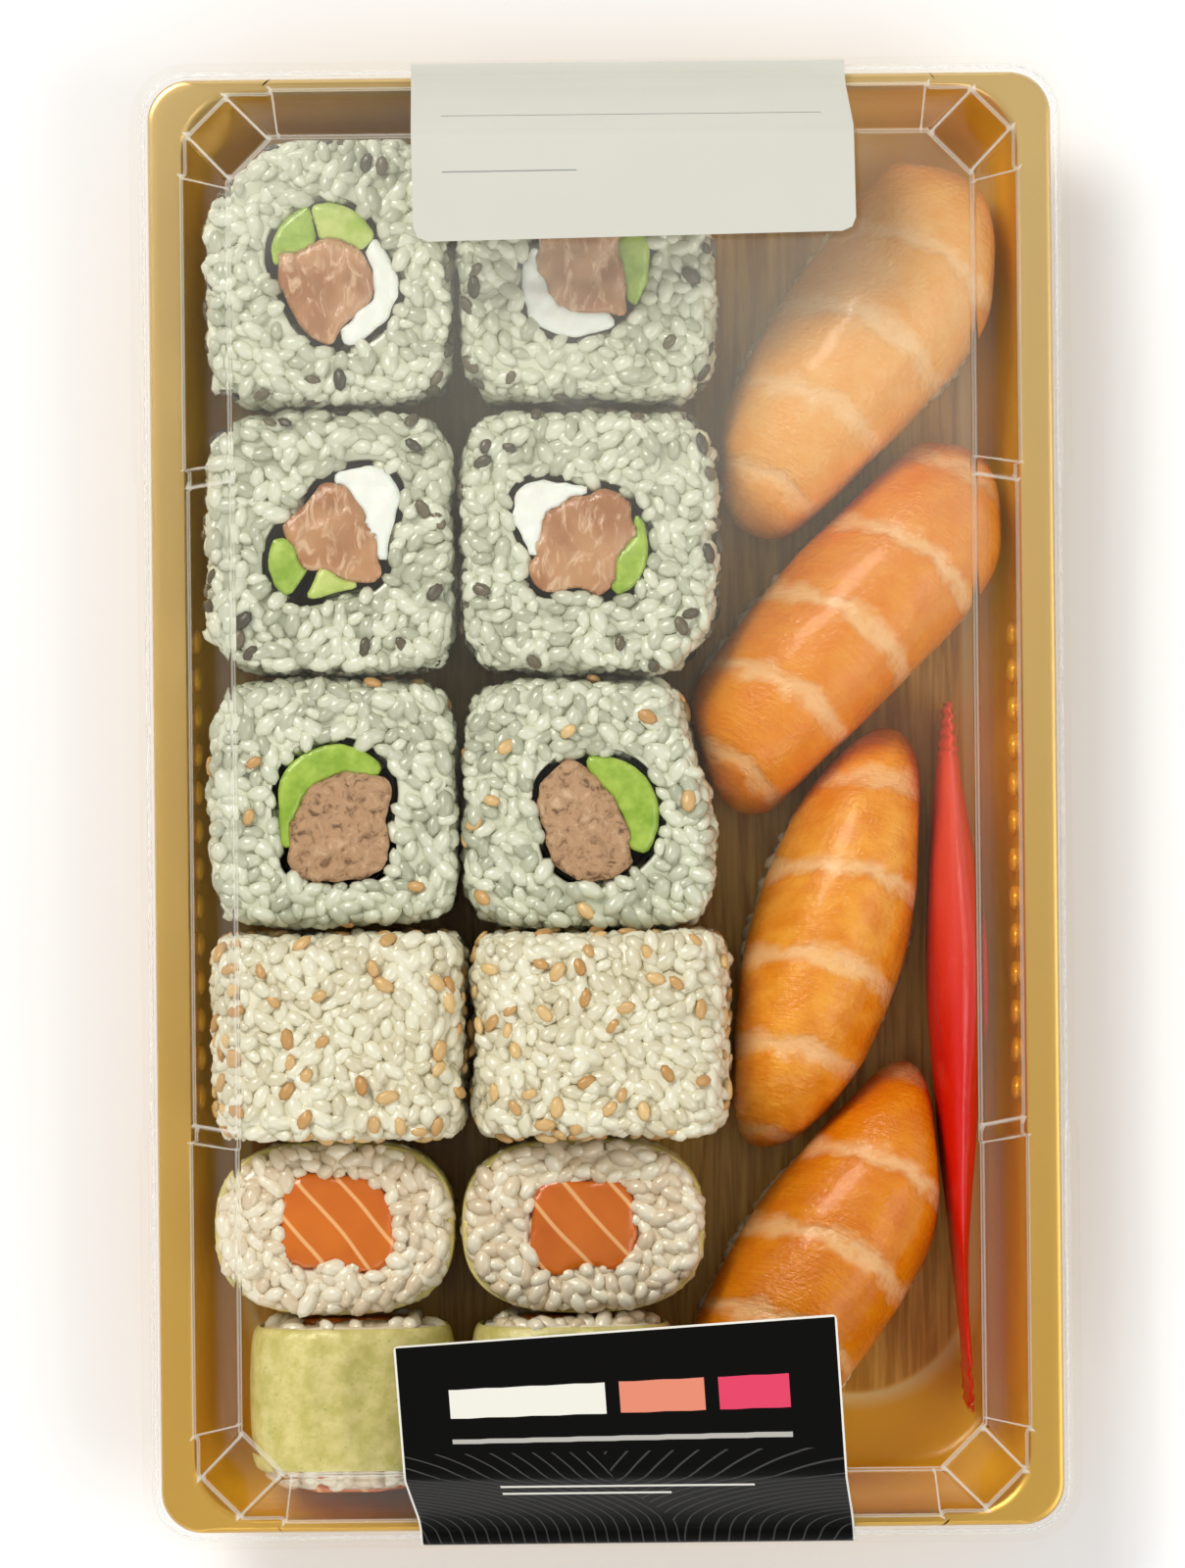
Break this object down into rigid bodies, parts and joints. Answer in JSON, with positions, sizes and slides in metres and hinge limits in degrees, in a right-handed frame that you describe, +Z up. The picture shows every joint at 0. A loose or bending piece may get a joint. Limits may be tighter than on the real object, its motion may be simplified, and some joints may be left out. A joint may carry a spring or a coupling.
{
  "type": "takeaway sushi tray",
  "caption": "Shut takeaway pack of sushi: rice rolls, nigiri and a sachet in a gold tray under a clear domed lid with cut corners and a label over each end.",
  "frame": {"origin": "middle of the pack's bounding box in plan, at the level of the tray's underside", "axes": "+X across the pack, +Y along it towards the end with the white label, +Z up out of the lid"},
  "size_m": [0.136, 0.215, 0.0466],
  "materials": {
    "gold_plastic": "glossy gold thermoformed plastic",
    "clear_film": "clear glossy thermoformed plastic",
    "white_paper": "smooth white label paper",
    "black_paper": "satin black label paper",
    "rice": "moist cooked rice",
    "nori": "damp seaweed sheet",
    "green_wrap": "thin yellow-green wrap",
    "cream_cheese": "soft cream cheese",
    "avocado": "cut avocado",
    "salmon_filling": "pale salmon at a cut",
    "salmon_cut": "orange salmon at a cut",
    "salmon_slice": "moist salmon with pale bands",
    "tuna": "crumbly cooked tuna",
    "red_film": "glossy red film"
  },
  "bodies": {
    "root": {"label_black": "black_paper", "label_white": "white_paper", "lid": "clear_film", "nigiri_1_rice": "rice", "nigiri_1_salmon": "salmon_slice", "nigiri_2_rice": "rice", "nigiri_2_salmon": "salmon_slice", "nigiri_3_rice": "rice", "nigiri_3_salmon": "salmon_slice", "nigiri_4_rice": "rice", "nigiri_4_salmon": "salmon_slice", "roll_1_left_avocado": "avocado", "roll_1_left_avocado_pale": "avocado", "roll_1_left_cheese": "cream_cheese", "roll_1_left_nori": "nori", "roll_1_left_rice": "rice", "roll_1_left_salmon": "salmon_filling", "roll_1_right_avocado": "avocado", "roll_1_right_cheese": "cream_cheese", "roll_1_right_nori": "nori", "roll_1_right_rice": "rice", "roll_1_right_salmon": "salmon_filling", "roll_2_left_avocado": "avocado", "roll_2_left_avocado_pale": "avocado", "roll_2_left_cheese": "cream_cheese", "roll_2_left_nori": "nori", "roll_2_left_rice": "rice", "roll_2_left_salmon": "salmon_filling", "roll_2_right_avocado": "avocado", "roll_2_right_cheese": "cream_cheese", "roll_2_right_nori": "nori", "roll_2_right_rice": "rice", "roll_2_right_salmon": "salmon_filling", "roll_3_left_avocado": "avocado", "roll_3_left_nori": "nori", "roll_3_left_rice": "rice", "roll_3_left_tuna": "tuna", "roll_3_right_avocado": "avocado", "roll_3_right_nori": "nori", "roll_3_right_rice": "rice", "roll_3_right_tuna": "tuna", "roll_4_left_rice": "rice", "roll_4_right_rice": "rice", "roll_5_left_rice": "rice", "roll_5_left_salmon": "salmon_cut", "roll_5_left_wrap": "green_wrap", "roll_5_right_rice": "rice", "roll_5_right_salmon": "salmon_cut", "roll_5_right_wrap": "green_wrap", "roll_6_left_rice": "rice", "roll_6_left_salmon": "salmon_cut", "roll_6_left_wrap": "green_wrap", "roll_6_right_rice": "rice", "roll_6_right_salmon": "salmon_cut", "roll_6_right_wrap": "green_wrap", "sachet": "red_film", "tray": "gold_plastic"}
  },
  "joints": []
}
